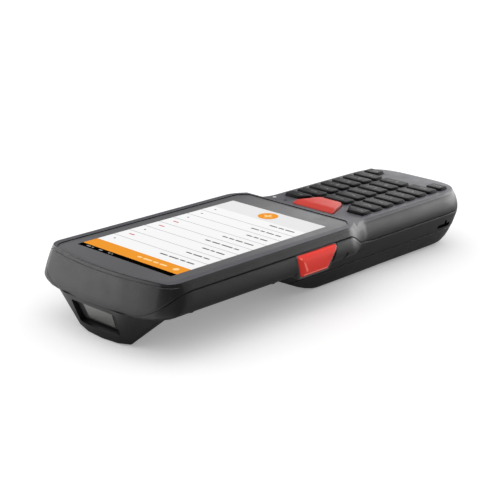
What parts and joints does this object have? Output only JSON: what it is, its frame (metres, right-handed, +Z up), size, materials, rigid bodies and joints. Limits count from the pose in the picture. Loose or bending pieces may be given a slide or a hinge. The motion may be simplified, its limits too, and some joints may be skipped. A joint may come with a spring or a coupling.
{
  "type": "handheld barcode data terminal",
  "caption": "Handheld data terminal: touch screen head, keypad grip, scanning nose under the head, red side triggers, red scan key and a sliding battery cover.",
  "frame": {"origin": "bottom centre of the whole body's bounding box; the battery cover and the scanning nose rest on z=0", "axes": "+Z up out of the screen side, +Y to the scanning nose, +X to the user's right"},
  "size_m": [0.0758, 0.204, 0.0288],
  "materials": {
    "deck_plastic": "fine satin texture",
    "shell_plastic": "fine moulded texture",
    "key_plastic": "smooth satin",
    "red_plastic": "smooth semi-gloss",
    "panel_glass": "glossy with printed grey border",
    "display": "lit screen face",
    "flex": "polyimide film",
    "frame_metal": "stamped",
    "circuit_board": "solder mask",
    "shield_metal": "stamped",
    "contact_metal": "gold plated",
    "window_glass": "dark tinted",
    "module_black": "matt black",
    "lens_glass": "coated",
    "mat_rubber": "silicone",
    "battery_shell": "wrapped pack",
    "lamp_dark": "dark lamp lens",
    "lamp_clear": "clear lamp lens",
    "screw_steel": "plated"
  },
  "bodies": {
    "housing": {"front_housing": "deck_plastic", "rear_housing": "shell_plastic", "touch_panel": "panel_glass", "display_module": "display", "display_flex": "flex", "mid_frame": "frame_metal", "main_board": "circuit_board", "rf_shield": "shield_metal", "wifi_antenna": "contact_metal", "scan_window": "window_glass", "scan_engine": "module_black", "scan_lens": "lens_glass", "keypad_mat": "mat_rubber", "keypad_board": "circuit_board", "trigger_bezel_left": "shell_plastic", "trigger_bezel_right": "shell_plastic", "trigger_switch_left": "circuit_board", "trigger_switch_right": "circuit_board", "battery_pack": "battery_shell", "battery_contacts": "contact_metal", "speaker": "module_black", "vibration_motor": "shield_metal", "microphone": "shield_metal", "camera_module": "module_black", "camera_window": "lens_glass", "usb_connector": "shield_metal", "card_socket": "shield_metal", "scan_led_lens": "lamp_dark", "charge_led_lens": "lamp_clear", "housing_screws": "screw_steel", "board_screws": "screw_steel"},
    "scan_key": {"scan_key": "red_plastic"},
    "key_1": {"key_1": "key_plastic"},
    "key_2": {"key_2": "key_plastic"},
    "key_3": {"key_3": "key_plastic"},
    "key_4": {"key_4": "key_plastic"},
    "key_5": {"key_5": "key_plastic"},
    "key_6": {"key_6": "key_plastic"},
    "key_7": {"key_7": "key_plastic"},
    "key_8": {"key_8": "key_plastic"},
    "key_9": {"key_9": "key_plastic"},
    "key_10": {"key_10": "key_plastic"},
    "key_11": {"key_11": "key_plastic"},
    "key_12": {"key_12": "key_plastic"},
    "key_13": {"key_13": "key_plastic"},
    "key_14": {"key_14": "key_plastic"},
    "key_15": {"key_15": "key_plastic"},
    "key_16": {"key_16": "key_plastic"},
    "key_17": {"key_17": "key_plastic"},
    "key_18": {"key_18": "key_plastic"},
    "key_19": {"key_19": "key_plastic"},
    "key_20": {"key_20": "key_plastic"},
    "key_21": {"key_21": "key_plastic"},
    "key_22": {"key_22": "key_plastic"},
    "trigger_left": {"trigger_left": "red_plastic"},
    "trigger_right": {"trigger_right": "red_plastic"},
    "battery_cover": {"battery_cover": "shell_plastic"},
    "battery_latch": {"battery_latch": "red_plastic"}
  },
  "joints": [
    {"name": "scan_key_press", "type": "slide", "parent": "housing", "child": "scan_key", "axis": [0, 0, -1], "range_m": [0, 0.0008], "stiffness_N_per_m": 2400},
    {"name": "key_1_press", "type": "slide", "parent": "housing", "child": "key_1", "axis": [0, 0, -1], "range_m": [0, 0.0008], "stiffness_N_per_m": 1900},
    {"name": "key_2_press", "type": "slide", "parent": "housing", "child": "key_2", "axis": [0, 0, -1], "range_m": [0, 0.0008], "stiffness_N_per_m": 1900},
    {"name": "key_3_press", "type": "slide", "parent": "housing", "child": "key_3", "axis": [0, 0, -1], "range_m": [0, 0.0008], "stiffness_N_per_m": 1900},
    {"name": "key_4_press", "type": "slide", "parent": "housing", "child": "key_4", "axis": [0, 0, -1], "range_m": [0, 0.0008], "stiffness_N_per_m": 1900},
    {"name": "key_5_press", "type": "slide", "parent": "housing", "child": "key_5", "axis": [0, 0, -1], "range_m": [0, 0.0008], "stiffness_N_per_m": 1900},
    {"name": "key_6_press", "type": "slide", "parent": "housing", "child": "key_6", "axis": [0, 0, -1], "range_m": [0, 0.0008], "stiffness_N_per_m": 1900},
    {"name": "key_7_press", "type": "slide", "parent": "housing", "child": "key_7", "axis": [0, 0, -1], "range_m": [0, 0.0008], "stiffness_N_per_m": 1900},
    {"name": "key_8_press", "type": "slide", "parent": "housing", "child": "key_8", "axis": [0, 0, -1], "range_m": [0, 0.0008], "stiffness_N_per_m": 1900},
    {"name": "key_9_press", "type": "slide", "parent": "housing", "child": "key_9", "axis": [0, 0, -1], "range_m": [0, 0.0008], "stiffness_N_per_m": 1900},
    {"name": "key_10_press", "type": "slide", "parent": "housing", "child": "key_10", "axis": [0, 0, -1], "range_m": [0, 0.0008], "stiffness_N_per_m": 1900},
    {"name": "key_11_press", "type": "slide", "parent": "housing", "child": "key_11", "axis": [0, 0, -1], "range_m": [0, 0.0008], "stiffness_N_per_m": 1900},
    {"name": "key_12_press", "type": "slide", "parent": "housing", "child": "key_12", "axis": [0, 0, -1], "range_m": [0, 0.0008], "stiffness_N_per_m": 1900},
    {"name": "key_13_press", "type": "slide", "parent": "housing", "child": "key_13", "axis": [0, 0, -1], "range_m": [0, 0.0008], "stiffness_N_per_m": 1900},
    {"name": "key_14_press", "type": "slide", "parent": "housing", "child": "key_14", "axis": [0, 0, -1], "range_m": [0, 0.0008], "stiffness_N_per_m": 1900},
    {"name": "key_15_press", "type": "slide", "parent": "housing", "child": "key_15", "axis": [0, 0, -1], "range_m": [0, 0.0008], "stiffness_N_per_m": 1900},
    {"name": "key_16_press", "type": "slide", "parent": "housing", "child": "key_16", "axis": [0, 0, -1], "range_m": [0, 0.0008], "stiffness_N_per_m": 1900},
    {"name": "key_17_press", "type": "slide", "parent": "housing", "child": "key_17", "axis": [0, 0, -1], "range_m": [0, 0.0008], "stiffness_N_per_m": 1900},
    {"name": "key_18_press", "type": "slide", "parent": "housing", "child": "key_18", "axis": [0, 0, -1], "range_m": [0, 0.0008], "stiffness_N_per_m": 1900},
    {"name": "key_19_press", "type": "slide", "parent": "housing", "child": "key_19", "axis": [0, 0, -1], "range_m": [0, 0.0008], "stiffness_N_per_m": 1900},
    {"name": "key_20_press", "type": "slide", "parent": "housing", "child": "key_20", "axis": [0, 0, -1], "range_m": [0, 0.0008], "stiffness_N_per_m": 1900},
    {"name": "key_21_press", "type": "slide", "parent": "housing", "child": "key_21", "axis": [0, 0, -1], "range_m": [0, 0.0008], "stiffness_N_per_m": 1900},
    {"name": "key_22_press", "type": "slide", "parent": "housing", "child": "key_22", "axis": [0, 0, -1], "range_m": [0, 0.0008], "stiffness_N_per_m": 1900},
    {"name": "trigger_left_press", "type": "slide", "parent": "housing", "child": "trigger_left", "axis": [1, 0, 0], "range_m": [0, 0.0012], "stiffness_N_per_m": 2500},
    {"name": "trigger_right_press", "type": "slide", "parent": "housing", "child": "trigger_right", "axis": [-1, 0, 0], "range_m": [0, 0.0012], "stiffness_N_per_m": 2500},
    {"name": "battery_cover_slide", "type": "slide", "parent": "housing", "child": "battery_cover", "axis": [0, -1, 0], "range_m": [0, 0.015]},
    {"name": "battery_latch_slide", "type": "slide", "parent": "battery_cover", "child": "battery_latch", "axis": [0, -1, 0], "range_m": [0, 0.0025], "stiffness_N_per_m": 500}
  ]
}
